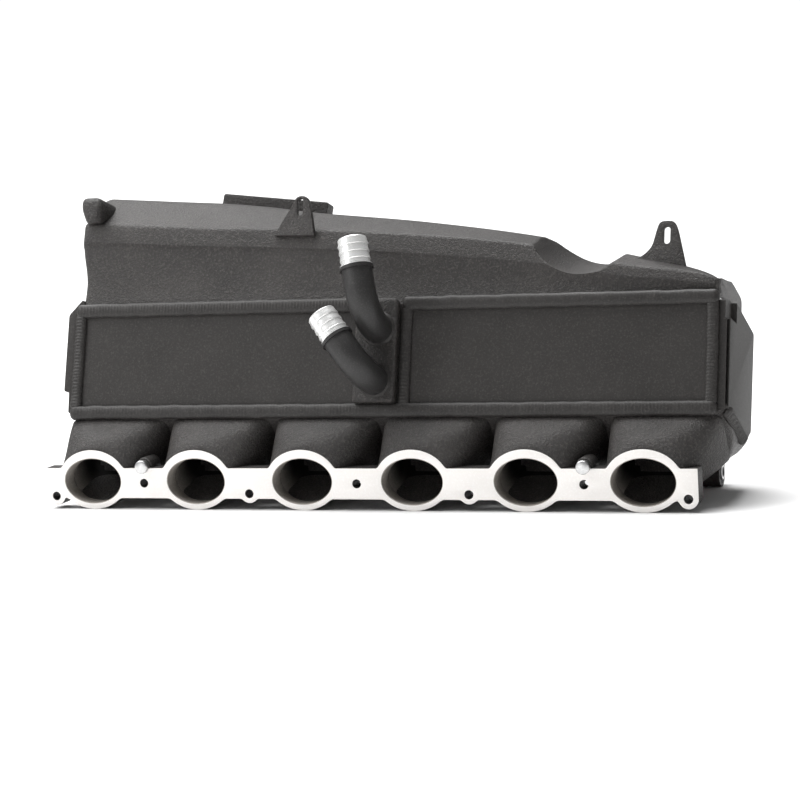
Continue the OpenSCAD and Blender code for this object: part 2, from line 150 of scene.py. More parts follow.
def circleLoop(x, y, r, count=32, wide=1.0):
    angles = [2 * math.pi * i / count for i in range(count)]
    return [(x + r * wide * math.cos(a), y + r * math.sin(a)) for a in angles]


def useModifier(piece, kind, **settings):
    pick(piece)
    modifier = piece.modifiers.new(kind.title(), kind)
    for key, value in settings.items():
        setattr(modifier, key, value)
    bpy.ops.object.modifier_apply(modifier=modifier.name)


def cutWith(piece, cutter, solver="EXACT"):
    useModifier(piece, "BOOLEAN", operation="DIFFERENCE", solver=solver, object=cutter)
    bpy.data.objects.remove(cutter)


def finish(piece, materials, slot, *nodes, angle=40):
    piece.data.materials.clear()
    for mat in materials:
        piece.data.materials.append(mat)
    pick(piece)
    bpy.ops.object.shade_smooth_by_angle(angle=math.radians(angle))
    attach(piece, "root")
    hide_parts(*nodes)
    return piece


# Turns a piece drawn about its own +Z axis so that it stands at a place along an axis
def standing(place, axis):
    turn = Vector((0, 0, 1)).rotation_difference(axis).to_matrix().to_4x4()
    return Matrix.Translation(place) @ turn


# A turned piece: the profile is a list of (radius, height), closed when its last point is its first
def turnedPiece(name, profile, place, axis, around=64):
    steps = len(profile) - 1
    turn = standing(place, axis)

    def spun(u, v):
        r, z = profile[round(v * steps)]
        a = 2 * math.pi * u
        return turn @ (Vector((r * math.cos(a), r * math.sin(a), z)) * mm)

    return wrappedGrid(name, around, steps, spun)


print("helpers ready, core foot at", round(coreY, 2), round(coreZ, 2))


# Shader groups that several finishes share
def newGroup(name, inputs, outputs):
    group = bpy.data.node_groups.new(name, "ShaderNodeTree")
    kind = "NodeSocketFloat"
    for label, value in inputs.items():
        group.interface.new_socket(name=label, in_out="INPUT", socket_type=kind).default_value = value
    for label in outputs:
        group.interface.new_socket(name=label, in_out="OUTPUT", socket_type=kind)
    return group, group.nodes.new("NodeGroupInput"), group.nodes.new("NodeGroupOutput")


def addMath(tree, operation, a, b):
    node = tree.nodes.new("ShaderNodeMath")
    node.operation = operation
    for socket, value in zip(node.inputs, (a, b)):
        if isinstance(value, (int, float)):
            socket.default_value = value
        else:
            tree.links.new(value, socket)
    return node.outputs[0]


def addNoise(tree, coords, scale, detail, rough=0.5):
    node = tree.nodes.new("ShaderNodeTexNoise")
    node.inputs["Detail"].default_value = detail
    node.inputs["Roughness"].default_value = rough
    tree.links.new(coords, node.inputs["Vector"])
    if isinstance(scale, (int, float)):
        node.inputs["Scale"].default_value = scale
    else:
        tree.links.new(scale, node.inputs["Scale"])
    return node.outputs["Fac"]


# Grain of a sprayed or cast surface: fine pimples on a slower swell, and a mask of paler specks
def makeGrainGroup():
    group, start, end = newGroup("coatGrain", {"Size": 900.0, "Speck": 0.6}, ["Height", "Speck", "Swell"])
    coords = group.nodes.new("ShaderNodeTexCoord").outputs["Object"]
    fine = addNoise(group, coords, start.outputs["Size"], 3, 0.6)
    finer = addNoise(group, coords, addMath(group, "MULTIPLY", start.outputs["Size"], 2.3), 2)
    slow = addNoise(group, coords, 26, 3)
    fineShare, finerShare = addMath(group, "MULTIPLY", fine, 0.65), addMath(group, "MULTIPLY", finer, 0.35)
    height = addMath(group, "ADD", fineShare, finerShare)
    lifted = addMath(group, "SUBTRACT", height, start.outputs["Speck"])
    speck = addMath(group, "MULTIPLY", addMath(group, "MAXIMUM", lifted, 0), 6)
    group.links.new(height, end.inputs["Height"])
    group.links.new(speck, end.inputs["Speck"])
    group.links.new(slow, end.inputs["Swell"])
    return group


# Light dust that settles on what faces up
def makeDustGroup():
    group, start, end = newGroup("settledDust", {"Amount": 0.3}, ["Mask"])
    coords = group.nodes.new("ShaderNodeTexCoord")
    parts = group.nodes.new("ShaderNodeSeparateXYZ")
    group.links.new(coords.outputs["Normal"], parts.inputs[0])
    upward = addMath(group, "MAXIMUM", parts.outputs["Z"], 0)
    patchy = addNoise(group, coords.outputs["Object"], 60, 4)
    both = addMath(group, "MULTIPLY", upward, patchy)
    group.links.new(addMath(group, "MULTIPLY", both, start.outputs["Amount"]), end.inputs["Mask"])
    return group


grainGroup = makeGrainGroup()
dustGroup = makeDustGroup()


def placeGroup(tree, group, **values):
    node = tree.nodes.new("ShaderNodeGroup")
    node.node_tree = group
    for label, value in values.items():
        node.inputs[label].default_value = value
    return node


def addMix(tree, factor, a, b):
    node = tree.nodes.new("ShaderNodeMix")
    node.data_type = "RGBA"
    tree.links.new(factor, node.inputs["Factor"])
    for socket, value in ((node.inputs[6], a), (node.inputs[7], b)):
        if isinstance(value, tuple):
            socket.default_value = (*value, 1)
        else:
            tree.links.new(value, socket)
    return node.outputs[2]


def addRange(tree, value, low, high):
    node = tree.nodes.new("ShaderNodeMapRange")
    node.inputs["To Min"].default_value = low
    node.inputs["To Max"].default_value = high
    tree.links.new(value, node.inputs["Value"])
    return node.outputs[0]


def addBump(tree, height, strength, distance):
    node = tree.nodes.new("ShaderNodeBump")
    node.inputs["Strength"].default_value = strength
    node.inputs["Distance"].default_value = distance * mm
    tree.links.new(height, node.inputs["Height"])
    return node.outputs[0]


# A grained finish: dark and pale tones, roughness range, grain size and depth, and dust
def grainedMaterial(name, dark, pale, rough, size, depth, metal=0.0, dust=0.06, gloss=0.36):
    mat = bpy.data.materials.new(name)
    mat.use_nodes = True
    tree = mat.node_tree
    shader = tree.nodes["Principled BSDF"]
    grain = placeGroup(tree, grainGroup, Size=size, Speck=0.5)
    settled = placeGroup(tree, dustGroup, Amount=dust)
    toned = addMix(tree, grain.outputs["Swell"], dark, tuple(mix(d, p, 0.5) for d, p in zip(dark, pale)))
    specked = addMix(tree, grain.outputs["Speck"], toned, pale)
    dusty = addMix(tree, settled.outputs["Mask"], specked, tuple(0.3 + 0.5 * p for p in pale))
    tree.links.new(dusty, shader.inputs["Base Color"])
    tree.links.new(addRange(tree, grain.outputs["Height"], *rough), shader.inputs["Roughness"])
    tree.links.new(addBump(tree, grain.outputs["Height"], 1.0, depth), shader.inputs["Normal"])
    shader.inputs["Metallic"].default_value = metal
    shader.inputs["Specular IOR Level"].default_value = gloss
    return mat


castCoat = grainedMaterial("castCoat", (0.011, 0.0101, 0.0097), (0.066, 0.059, 0.055), (0.58, 0.3), 540, 1.6)
sheetCoat = grainedMaterial("sheetCoat", (0.022, 0.0205, 0.0196), (0.05, 0.0465, 0.044), (0.62, 0.48), 600,
                            0.4, gloss=0.22)
weldCoat = grainedMaterial("weldCoat", (0.016, 0.0149, 0.0143), (0.052, 0.048, 0.0455), (0.52, 0.4), 700, 0.3,
                           gloss=0.3)
pipeCoat = grainedMaterial("pipeCoat", (0.016, 0.0155, 0.0155), (0.045, 0.043, 0.042), (0.52, 0.4), 900, 0.05)
castBare = grainedMaterial("castBare", (0.36, 0.33, 0.3), (0.55, 0.52, 0.48), (0.62, 0.45), 520, 0.25,
                           metal=0.3, dust=0)
milledFace = grainedMaterial("milledFace", (0.85, 0.82, 0.79), (0.92, 0.9, 0.88), (0.5, 0.38), 500, 0.02,
                             metal=0.1, dust=0)
plainSteel = grainedMaterial("plainSteel", (0.5, 0.5, 0.5), (0.66, 0.66, 0.66), (0.42, 0.3), 900, 0.02,
                             metal=1.0, dust=0)
coreAlloy = grainedMaterial("coreAlloy", (0.5, 0.5, 0.5), (0.65, 0.65, 0.65), (0.5, 0.35), 900, 0.03,
                            metal=0.9, dust=0)
sealRubber = grainedMaterial("sealRubber", (0.012, 0.012, 0.012), (0.04, 0.04, 0.04), (0.75, 0.6), 900, 0.05)
plugRed = grainedMaterial("plugRed", (0.6, 0.01, 0.02), (0.75, 0.03, 0.04), (0.35, 0.25), 700, 0.02, dust=0)
# Painted shade for the bores: from -4 mm to 46 mm deep the colour darkens to this near-black tone, standing
# in for the shadow inside
boreDepthShade = {"from": -4, "to": 46, "tone": (0.01, 0.0095, 0.009), "gloss": 0.1}


# The bores are bare and pale at the mouth; behind the machined face their colour darkens with depth, a
# painted shade for the shadow deep inside the bore
def boreMaterial():
    mat = castBare.copy()
    mat.name = "castBoreShaded"
    tree = mat.node_tree
    shader = tree.nodes["Principled BSDF"]
    pale = shader.inputs["Base Color"].links[0].from_socket
    coords = tree.nodes.new("ShaderNodeTexCoord")
    parts = tree.nodes.new("ShaderNodeSeparateXYZ")
    tree.links.new(coords.outputs["Object"], parts.inputs[0])
    depth = tree.nodes.new("ShaderNodeMapRange")
    depth.interpolation_type = "SMOOTHSTEP"
    depth.inputs["From Min"].default_value = boreDepthShade["from"] * mm
    depth.inputs["From Max"].default_value = boreDepthShade["to"] * mm
    tree.links.new(parts.outputs["Y"], depth.inputs["Value"])
    tree.links.new(addMix(tree, depth.outputs[0], pale, boreDepthShade["tone"]), shader.inputs["Base Color"])
    shader.inputs["Specular IOR Level"].default_value = boreDepthShade["gloss"]
    return mat


castBoreShaded = boreMaterial()


# Turned aluminium: fine rings round the piece's own axis, drawn along it
def turnedMaterial(name, place, axis, pitch):
    mat = bpy.data.materials.new(name)
    mat.use_nodes = True
    tree = mat.node_tree
    shader = tree.nodes["Principled BSDF"]
    coords = tree.nodes.new("ShaderNodeTexCoord")
    mapping = tree.nodes.new("ShaderNodeMapping")
    mapping.vector_type = "TEXTURE"
    mapping.inputs["Location"].default_value = place
    mapping.inputs["Rotation"].default_value = Vector((0, 0, 1)).rotation_difference(axis).to_euler()
    tree.links.new(coords.outputs["Object"], mapping.inputs["Vector"])
    wave = tree.nodes.new("ShaderNodeTexWave")
    wave.bands_direction = "Z"
    wave.inputs["Scale"].default_value = 0.31 / (pitch * mm)
    wave.inputs["Distortion"].default_value = 0.6
    tree.links.new(mapping.outputs[0], wave.inputs["Vector"])
    shader.inputs["Base Color"].default_value = (0.96, 0.96, 0.95, 1)
    shader.inputs["Metallic"].default_value = 0.55
    tree.links.new(addRange(tree, wave.outputs["Fac"], 0.2, 0.34), shader.inputs["Roughness"])
    tree.links.new(addBump(tree, wave.outputs["Fac"], 0.6, 0.03), shader.inputs["Normal"])
    return mat


print("materials ready")

# Camera, light and floor
cameraView = {"place": (645.5, -1674.3, 302.6), "yaw": 19.89, "pitch": 7.59, "roll": 3.28, "lens": 105.6}
studio = {"seen": 1.05, "lit": 0.2, "sunFrom": (-0.28, 0.26, 1), "sunSpread": 52, "sunPower": 5.2,
          "floorRadius": 9, "paper": 0.88}


def addCamera():
    yaw, pitch, roll = (math.radians(cameraView[k]) for k in ("yaw", "pitch", "roll"))
    right = Vector((math.cos(yaw), math.sin(yaw), 0))
    ahead = Vector((-math.sin(yaw) * math.cos(pitch), math.cos(yaw) * math.cos(pitch), -math.sin(pitch)))
    up = right.cross(ahead)
    turnedRight = right * math.cos(roll) - up * math.sin(roll)
    turnedUp = right * math.sin(roll) + up * math.cos(roll)
    lens = bpy.data.cameras.new("viewCamera")
    lens.sensor_width = 36
    lens.lens = cameraView["lens"]
    camera = bpy.data.objects.new("viewCamera", lens)
    bpy.context.scene.collection.objects.link(camera)
    basis = Matrix((turnedRight, turnedUp, -ahead)).transposed().to_4x4()
    camera.matrix_world = Matrix.Translation(Vector(cameraView["place"]) * mm) @ basis
    bpy.context.scene.camera = camera


def addSoftbox(name, place, target, width, height, watts):
    light = bpy.data.lights.new(name, "AREA")
    light.shape = "RECTANGLE"
    light.size = width
    light.size_y = height
    light.energy = watts
    box = bpy.data.objects.new(name, light)
    bpy.context.scene.collection.objects.link(box)
    aim = (Vector(target) - Vector(place)).to_track_quat("-Z", "Y")
    box.matrix_world = Matrix.Translation(place) @ aim.to_matrix().to_4x4()


# A light as wide as a cloth over the whole table, so the floor is even all the way back
def addSoftSun(name, towards, spread, strength):
    light = bpy.data.lights.new(name, "SUN")
    light.energy = strength
    light.angle = math.radians(spread)
    sun = bpy.data.objects.new(name, light)
    bpy.context.scene.collection.objects.link(sun)
    sun.matrix_world = Vector(towards).to_track_quat("Z", "Y").to_matrix().to_4x4()


def addStudio():
    world = bpy.data.worlds.new("studio")
    bpy.context.scene.world = world
    world.use_nodes = True
    tree = world.node_tree
    seen = tree.nodes["Background"]
    seen.inputs["Color"].default_value = (1, 1, 1, 1)
    seen.inputs["Strength"].default_value = studio["seen"]
    lit = tree.nodes.new("ShaderNodeBackground")
    lit.inputs["Color"].default_value = (1, 1, 1, 1)
    lit.inputs["Strength"].default_value = studio["lit"]
    path = tree.nodes.new("ShaderNodeLightPath")
    both = tree.nodes.new("ShaderNodeMixShader")
    tree.links.new(path.outputs["Is Camera Ray"], both.inputs["Fac"])
    tree.links.new(lit.outputs[0], both.inputs[1])
    tree.links.new(seen.outputs[0], both.inputs[2])
    tree.links.new(both.outputs[0], tree.nodes["World Output"].inputs["Surface"])
    addSoftSun("topLight", studio["sunFrom"], studio["sunSpread"], studio["sunPower"])
    addSoftbox("frontSoftbox", (-0.9, -2.2, 0.3), (0, 0, 0.02), 1.2, 0.7, 6)
    addSoftbox("leftSoftbox", (-1.0, -0.45, 0.95), (-0.1, 0, 0.08), 0.7, 0.7, 10)
    bpy.context.scene.view_settings.view_transform = "Standard"
    deselectAll()
    bpy.ops.mesh.primitive_circle_add(vertices=96, radius=studio["floorRadius"], fill_type="NGON",
                                      location=(0, 0, floorZ))
    floor = bpy.context.object
    floor.name = "floor"
    floor.data.transform(floor.matrix_world)
    floor.matrix_world = Matrix.Identity(4)
    paper = bpy.data.materials.new("paper")
    paper.use_nodes = True
    shader = paper.node_tree.nodes["Principled BSDF"]
    shader.inputs["Base Color"].default_value = (*(studio["paper"],) * 3, 1)
    shader.inputs["Roughness"].default_value = 0.9
    floor.data.materials.append(paper)


addCamera()
addStudio()
print("camera and studio ready")

# The flange: machined front, bare bores, black behind
flange = {"thick": 16, "lobeWide": 30, "lobeHigh": 24, "lobeZ": 1.1, "strapLow": -14, "strapHigh": 10.4,
          "left": -269.8, "right": 269, "portWide": 24.8, "portHigh": 18, "studRadius": 3.5, "earX": 261.3,
          "earZ": -12.5, "earRadius": 7.6, "lowStudZ": -9.9, "lowLobe": 7.5, "studRise": -1.7, "pinX": 182.3,
          "pinZ": 11.7, "blend": 2.5, "nearPort": (25.4, 18.6), "edgeSteps": 540}


def bulge(x, centre, wide, high):
    reach = 1 - ((x - centre) / wide) ** 2
    return high * math.sqrt(reach) if reach > 0 else None


def flangeEdge(x, side):
    edge = flange["strapHigh"] if side > 0 else flange["strapLow"]
    rounds = [(p, flange["lobeZ"], flange["lobeWide"], flange["lobeHigh"]) for p in portX]
    if side < 0:
        rounds += [(p, flange["lowStudZ"], flange["lowLobe"], flange["lowLobe"])
                   for p in (-portPitch, portPitch)]
        rounds += [(p, flange["earZ"], flange["earRadius"], flange["earRadius"])
                   for p in (-flange["earX"], flange["earX"])]
    for centre, z, wide, high in rounds:
        rise = bulge(x, centre, wide, high)
        if rise is not None:
            edge = side * softMax(side * edge, side * z + rise, flange["blend"])
    return edge


def makeFlange():
    count = flange["edgeSteps"]
    xs = [mix(flange["left"], flange["right"], i / count) for i in range(count + 1)]
    outline = [(x, flangeEdge(x, 1)) for x in xs] + [(x, flangeEdge(x, -1)) for x in reversed(xs)]
    holes = [circleLoop(p, 0, flange["portHigh"], 72, flange["portWide"] / flange["portHigh"]) for p in portX]
    studs = [(x, flange["studRise"]) for x in (-2 * portPitch, 0, 2 * portPitch)]
    studs += [(x, flange["lowStudZ"]) for x in (-portPitch, portPitch)]
    studs += [(x, flange["earZ"]) for x in (-flange["earX"], flange["earX"])]
    holes += [circleLoop(x, z, flange["studRadius"], 28) for x, z in studs]
    middle = fromPorts(0, flange["thick"] / 2, 0)
    turn = Matrix.Translation(middle) @ Matrix.Rotation(math.radians(90), 4, "X")
    piece = plateFrom("flangePlate", outline, holes, flange["thick"], 0.5, turn)
    finish(piece, [castCoat, milledFace, castBoreShaded], "machined_face", "port_flange")
    nearWide, nearHigh = flange["nearPort"]
    for face in piece.data.polygons:
        x, y, z = face.center / mm
        if any(((x - p) / nearWide) ** 2 + ((z - portZ) / nearHigh) ** 2 < 1 for p in portX):
            face.material_index = 2
        elif y < 0.6 and abs(face.normal.y) > 0.3:
            face.material_index = 1
    for side in (-1, 1):
        seat = [(0, 3), (6, 3), (6.8, 3.8), (6.8, 20), (6.2, 21.4), (5, 22), (0, 22)]
        place = fromPorts(side * flange["pinX"], 0, flange["pinZ"])
        name = "pinBoss" + ("Left" if side < 0 else "Right")
        pinBoss = turnedPiece(name, seat, place, Vector((0, 1, 0)), 40)
        finish(pinBoss, [castCoat], "cast_coat")
    tip = [(0, 12), (5, 12), (5, 0.2), (5.4, 0.2), (5.4, -3), (5.2, -3.6), (4.6, -4), (0, -4)]
    places = [fromPorts(side * flange["pinX"], 0, flange["pinZ"]) for side in (-1, 1)]
    pins = [turnedPiece("pin", tip, place, Vector((0, 1, 0)), 40) for place in places]
    pick(pins[0])
    pins[1].select_set(True)
    bpy.ops.object.join()
    pins[0].name = "locatingPins"
    finish(pins[0], [plainSteel], "bare_aluminium", "locating_pins")


makeFlange()
print("flange made")

# Runners: a skin from the edge of each lobe to the slanted wall of the lower tank, and the duct inside it
runner = {"front": 1.0, "frontSeat": (25.5, 47.5), "rearSeat": (57.0, 3.5), "shift": 12.5, "mouthWide": 86,
          "mouthHigh": 53, "wall": 4.5, "square": 7, "bend": (8, 6), "ductBend": (12, 3), "flare": 1.3}
seatA, seatB = runner["frontSeat"], runner["rearSeat"]
mouthSlope = math.atan2(seatB[0] - seatA[0], seatA[1] - seatB[1])
mouthMid = ((seatA[0] + seatB[0]) / 2, (seatA[1] + seatB[1]) / 2)


def runnerPoint(x0, a, s, start, wide, high, taken):
    lead = runner["bend"] if taken == 0 else runner["ductBend"]
    bend = (start[0] + lead[0], start[1] + lead[1])
    y, z = ((1 - s) ** 2 * p + 2 * s * (1 - s) * q + s * s * m for p, q, m in zip(start, bend, mouthMid))
    grow = s ** runner["flare"]
    shape = 2 / mix(2, runner["square"], s ** 3)
    across = mix(wide, runner["mouthWide"] - 2 * taken, grow) / 2 * power(math.cos(a), shape)
    up = mix(high, runner["mouthHigh"] - 2 * taken, s) / 2 * power(math.sin(a), shape)
    tilt = mouthSlope * s
    return fromPorts(x0 + runner["shift"] * grow + across, y - up * math.sin(tilt), z + up * math.cos(tilt))


def makeRunner(i):
    x0 = portX[i]
    outSteps, inSteps = 16, 12
    steps = outSteps + 1 + inSteps + 2
    lobe = (2 * flange["lobeWide"], 2 * flange["lobeHigh"])
    port = (2 * flange["portWide"], 2 * flange["portHigh"])

    def skin(u, v):
        a = 2 * math.pi * u
        k = round(v * steps)
        if k <= outSteps:
            return runnerPoint(x0, a, k / outSteps, (runner["front"], flange["lobeZ"]), *lobe, 0)
        k -= outSteps + 1
        if k <= inSteps:
            return runnerPoint(x0, a, 1 - k / inSteps, (flange["thick"], 0), *port, runner["wall"])
        depth = flange["thick"] if k == inSteps + 1 else runner["front"]
        return fromPorts(x0 + lobe[0] / 2 * math.cos(a), depth, flange["lobeZ"] + lobe[1] / 2 * math.sin(a))

    piece = wrappedGrid(f"runner{i + 1}", 72, steps, skin)
    finish(piece, [castCoat, castBoreShaded], "cast_coat", f"runner_{i + 1}", angle=50)
    # The duct's inner faces take the bore material, whose colour darkens with depth as a painted shade
    for face in piece.data.polygons:
        y = (face.center / mm).y
        if (face.center - fromPorts(x0, y, 0)).dot(face.normal) < 0 and y > flange["thick"]:
            face.material_index = 1


for number in range(6):
    makeRunner(number)
print("runners made")

# Lower tank: a trough with soft corners, rounded ends and six mouths
trough = {"outline": [(25.5, 47.5, 2), (57, 3.5, 9), (64, 1, 4), (104, 1, 12), (117, 5.5, 8), (122, 14, 8)],
          "left": -255, "right": 286.4, "leftRadius": 13, "rightRadius": 21, "wall": 4, "tuck": -2.5,
          "heart": (76, 32), "mouthDepth": 14, "mouthSquare": 4.2}


# Samples an outline whose corners carry a radius; every corner and straight gets its own share of points
def roundedLine(corners, perCorner, perSide):
    points = []
    for i, (x, y, r) in enumerate(corners):
        here = Vector((x, y))
        if r > 0:
            before = Vector(corners[i - 1][:2]) - here
            after = Vector(corners[i + 1][:2]) - here
            reach = min(r, before.length * 0.48, after.length * 0.48)
            a, c = here + before.normalized() * reach, here + after.normalized() * reach
            for k in range(perCorner + 1):
                t = k / perCorner
                points.append(a * (1 - t) ** 2 + here * 2 * t * (1 - t) + c * t * t)
        else:
            points.append(here)
        if i + 1 < len(corners):
            nextCorner = corners[i + 1]
            target = Vector(nextCorner[:2])
            if nextCorner[2] > 0:
                back = here - target
                reachNext = min(nextCorner[2], back.length * 0.48,
                                (Vector(corners[i + 2][:2]) - target).length * 0.48)
                target = target + back.normalized() * reachNext
            start = points[-1].copy()
            for k in range(1, perSide):
                points.append(start.lerp(target, k / perSide))
    return points


# How a rounded end draws the outline in: (distance from the end, amount), from the end inwards
def endInsets(r, turns=7):
    angles = [math.pi / 2 * k / turns for k in range(turns + 1)]
    return [(r * (1 - math.cos(a)), r * (1 - math.sin(a))) for a in angles]


def makeLowerTank():
    edges = [lean(0, n, trough["tuck"]) / mm for n in (1.5, core["depth"] - 2)]
    start, end = [(edge.y, edge.z - portZ, 0) for edge in edges]
    line = roundedLine([start] + trough["outline"] + [end], 4, 3)
    middle = Vector(trough["heart"])
    left, right = trough["left"], trough["right"]
    r, flats = trough["rightRadius"], 24
    rows = [(left, None)] + [(left + d, inset) for d, inset in endInsets(trough["leftRadius"])]
    rows += [(mix(left + trough["leftRadius"], right - r, k / flats), 0) for k in range(1, flats)]
    rows += [(right - d, inset) for d, inset in reversed(endInsets(r))] + [(right, None)]

    def skin(u, v):
        x, inset = rows[round(v * (len(rows) - 1))]
        p = line[round(u * (len(line) - 1))]
        away = 1.0 if inset is None else inset / max(r, (p - middle).length)
        rim = Vector((mix(line[0].x, line[-1].x, u), mix(line[0].y, line[-1].y, u)))
        q = p.lerp(rim, away)
        return fromPorts(x, q.x, q.y)

    piece = wrappedGrid("lowerTank", len(line) - 1, len(rows) - 1, skin)
    useModifier(piece, "SOLIDIFY", thickness=trough["wall"] * mm, offset=-1, use_even_offset=True)
    for x in portX:
        def cutter(u, v):
            a = 2 * math.pi * u
            ring = round(v * 3)
            deep = -trough["mouthDepth"] if ring < 2 else trough["mouthDepth"]
            wide = runner["mouthWide"] / 2 - runner["wall"] if ring in (1, 2) else 0
            high = runner["mouthHigh"] / 2 - runner["wall"] if ring in (1, 2) else 0
            shape = 2 / trough["mouthSquare"]
            across, up = wide * power(math.cos(a), shape), high * power(math.sin(a), shape)
            y = mouthMid[0] - up * math.sin(mouthSlope) + deep * math.cos(mouthSlope)
            z = mouthMid[1] + up * math.cos(mouthSlope) + deep * math.sin(mouthSlope)
            return fromPorts(x + runner["shift"] + across, y, z)

        cutWith(piece, wrappedGrid("mouthCutter", 40, 3, cutter), "MANIFOLD")
    finish(piece, [castCoat], "cast_coat", "lower_tank", angle=35)


makeLowerTank()
print("lower tank made")

# Upper tank: [x, crease height, ridge height, ridge depth], falling to the right, with a scoop out of its top
upper = {"stations": [(-254, 139, 180, 30), (-205, 135.5, 176, 30), (-145, 131.5, 170.5, 30),
                      (-59, 127.5, 160, 30), (28, 121, 150, 30), (131, 110, 133.4, 28), (205, 97, 115.5, 18),
                      (252, 92, 104, 16), (270, 89, 97, 14), (279, 87, 91, 10)],
         "rearLift": 12, "scoopX": 170, "scoopZ": 193.3, "scoopRadius": 42, "wall": 4, "endRadius": 6,
         "heart": (45, 110), "fullDepth": 30, "holeDepth": 30}


# Throttle flange, rolled to follow the falling ridge; its bore also cuts the rear of the upper tank
throttle = {"x": -129.5, "w": 144, "half": 48.5, "cut": 10, "blind": 3, "thick": 14, "roll": 6.7, "bore": 34,
            "pcd": 110, "insert": 4.2, "groove": (37, 40.5, 2.5)}


def stationAt(x):
    rows = upper["stations"]
    x = min(max(x, rows[0][0]), rows[-1][0])
    i = max(k for k in range(len(rows) - 1) if rows[k][0] <= x)
    a, b = rows[i], rows[i + 1]
    span = b[0] - a[0]
    t = (x - a[0]) / span
    values = []
    for k in (1, 2, 3):
        slope = (b[k] - a[k]) / span
        before = (a[k] - rows[i - 1][k]) / (a[0] - rows[i - 1][0]) if i > 0 else slope
        after = (rows[i + 2][k] - b[k]) / (rows[i + 2][0] - b[0]) if i + 2 < len(rows) else slope
        m0, m1 = (before + slope) / 2 * span, (slope + after) / 2 * span
        h = (2 * t ** 3 - 3 * t * t + 1) * a[k] + (t ** 3 - 2 * t * t + t) * m0
        values.append(h + (3 * t * t - 2 * t ** 3) * b[k] + (t ** 3 - t * t) * m1)
    return values


def tankLine(x):
    crease, ridge, depth = stationAt(x)
    foot = core["top"]
    k = depth / upper["fullDepth"]
    ledge = 1.0 * ramp(60, -60, x)
    crease -= 2.2 * k
    edge = crease + 16.4 * k
    lift = upper["rearLift"] * ramp(-205, -145, x) * ramp(-59, -112, x)
    corners = [(0.5, foot, 0), (1 + 2 * k, mix(foot, crease, 0.25), 12),
               (1 + 2.5 * k, mix(foot, crease, 0.6), 14),
               (ledge + 0.8, crease - 0.8, 1.0), (0.2, crease + 0.6, 1.0), (1.5 * k, edge, 2.4),
               (depth + 8 * k, ridge + 4.5 * k, 9 * k), (66, ridge + 7 * k + 0.3 * lift, 14),
               (core["depth"] - 6, ridge + 2 * k + lift, 6 - lift / 4),
               (core["depth"], mix(foot, ridge, 0.88) + 1.8 * lift, 8 - lift / 2), (core["depth"], foot, 0)]
    return roundedLine(corners, 4, 3)


def makeUpperTank():
    left, right = upper["stations"][0][0], upper["stations"][-1][0]
    xs = [left + k * 1.5 for k in range(5)] + [mix(left + 6, 126, k / 40) for k in range(1, 40)]
    xs += [126 + k * 1.5 for k in range(59)] + [mix(213, right - 4, k / 12) for k in range(1, 12)]
    xs += [right - 4 + k for k in range(5)]
    lines = [tankLine(x) for x in xs]
    last, around = len(xs) - 1, len(lines[0]) - 1
    wall, r = upper["wall"], upper["endRadius"]

    # One point of the outer skin (taken 0) or of the inner one (taken = wall)
    def skinPoint(j, i, taken):
        x = min(max(xs[j], left + taken), right - taken)
        n, w = lines[j][i]
        ahead, back = lines[j][min(i + 1, around)], lines[j][max(i - 1, 0)]
        way = (ahead - back).normalized()
        n, w = n + way.y * taken, w - way.x * taken
        end = min(x - left, right - x, r)
        drawn = r - math.sqrt(max(0, r * r - (r - end) ** 2))
        middle = Vector(upper["heart"]) - Vector((n, w))
        n, w = Vector((n, w)) + middle.normalized() * drawn
        place = lean(x, n, max(w, core["top"] - 0.5)) / mm
        spread = ramp(100, 135, w) * ramp(-190, left, x)
        place.x += 0.5 * ramp(-235, left, x) - 4.5 * spread
        off = abs(x - upper["scoopX"]) / (upper["scoopRadius"] + taken)
        if off < 1.1:
            sag = (upper["scoopRadius"] + taken) * math.sqrt(max(0, 1 - off * off))
            cutAt = upper["scoopZ"] + portZ - sag
            cutAt += max(0, off - 0.97) * 200
            place.z = softMin(place.z, cutAt, 2.0)
        return place * mm

    rows = [(0, 0, True)] + [(j, 0, False) for j in range(last + 1)] + [(last, 0, True)]
    rows += [(last, wall, True)] + [(j, wall, False) for j in range(last, -1, -1)]
    rows += [(0, wall, True), (0, 0, True)]

    def skin(u, v):
        j, taken, flat = rows[round(v * (len(rows) - 1))]
        i = round(u * around)
        if flat:
            a, b = skinPoint(j, 0, taken), skinPoint(j, around, taken)
            return a.lerp(b, i / around)
        return skinPoint(j, i, taken)

    piece = wrappedGrid("upperTank", around, len(rows) - 1, skin)
    pick(piece)
    bpy.ops.object.mode_set(mode="EDIT")
    bpy.ops.mesh.select_all(action="DESELECT")
    bpy.ops.mesh.select_mode(type="EDGE")
    bpy.ops.mesh.select_non_manifold()
    bpy.ops.mesh.edge_face_add()
    bpy.ops.object.mode_set(mode="OBJECT")
    bpy.ops.mesh.primitive_cylinder_add(vertices=64, radius=throttle["bore"] * mm,
                                        depth=upper["holeDepth"] * mm)
    hole = bpy.context.object
    rear = lean(throttle["x"], core["depth"] - 2, throttle["w"])
    hole.data.transform(standing(rear, Vector((0, cosLean, -sinLean))))
    hole.matrix_world = Matrix.Identity(4)
    cutWith(piece, hole)
    finish(piece, [castCoat], "cast_coat", "upper_tank", angle=50)


makeUpperTank()
print("upper tank made")

# Beads of weld: a flattened hump with fish-scale ripples, swept along a straight or bent path
bead = {"wide": 11.5, "high": 4.2, "sink": 0.6, "ripple": 2.7, "bow": 2.2, "step": 0.62,
        "leftX": -252, "centreX": 32.5, "rightX": 275, "seamX": 286.8}


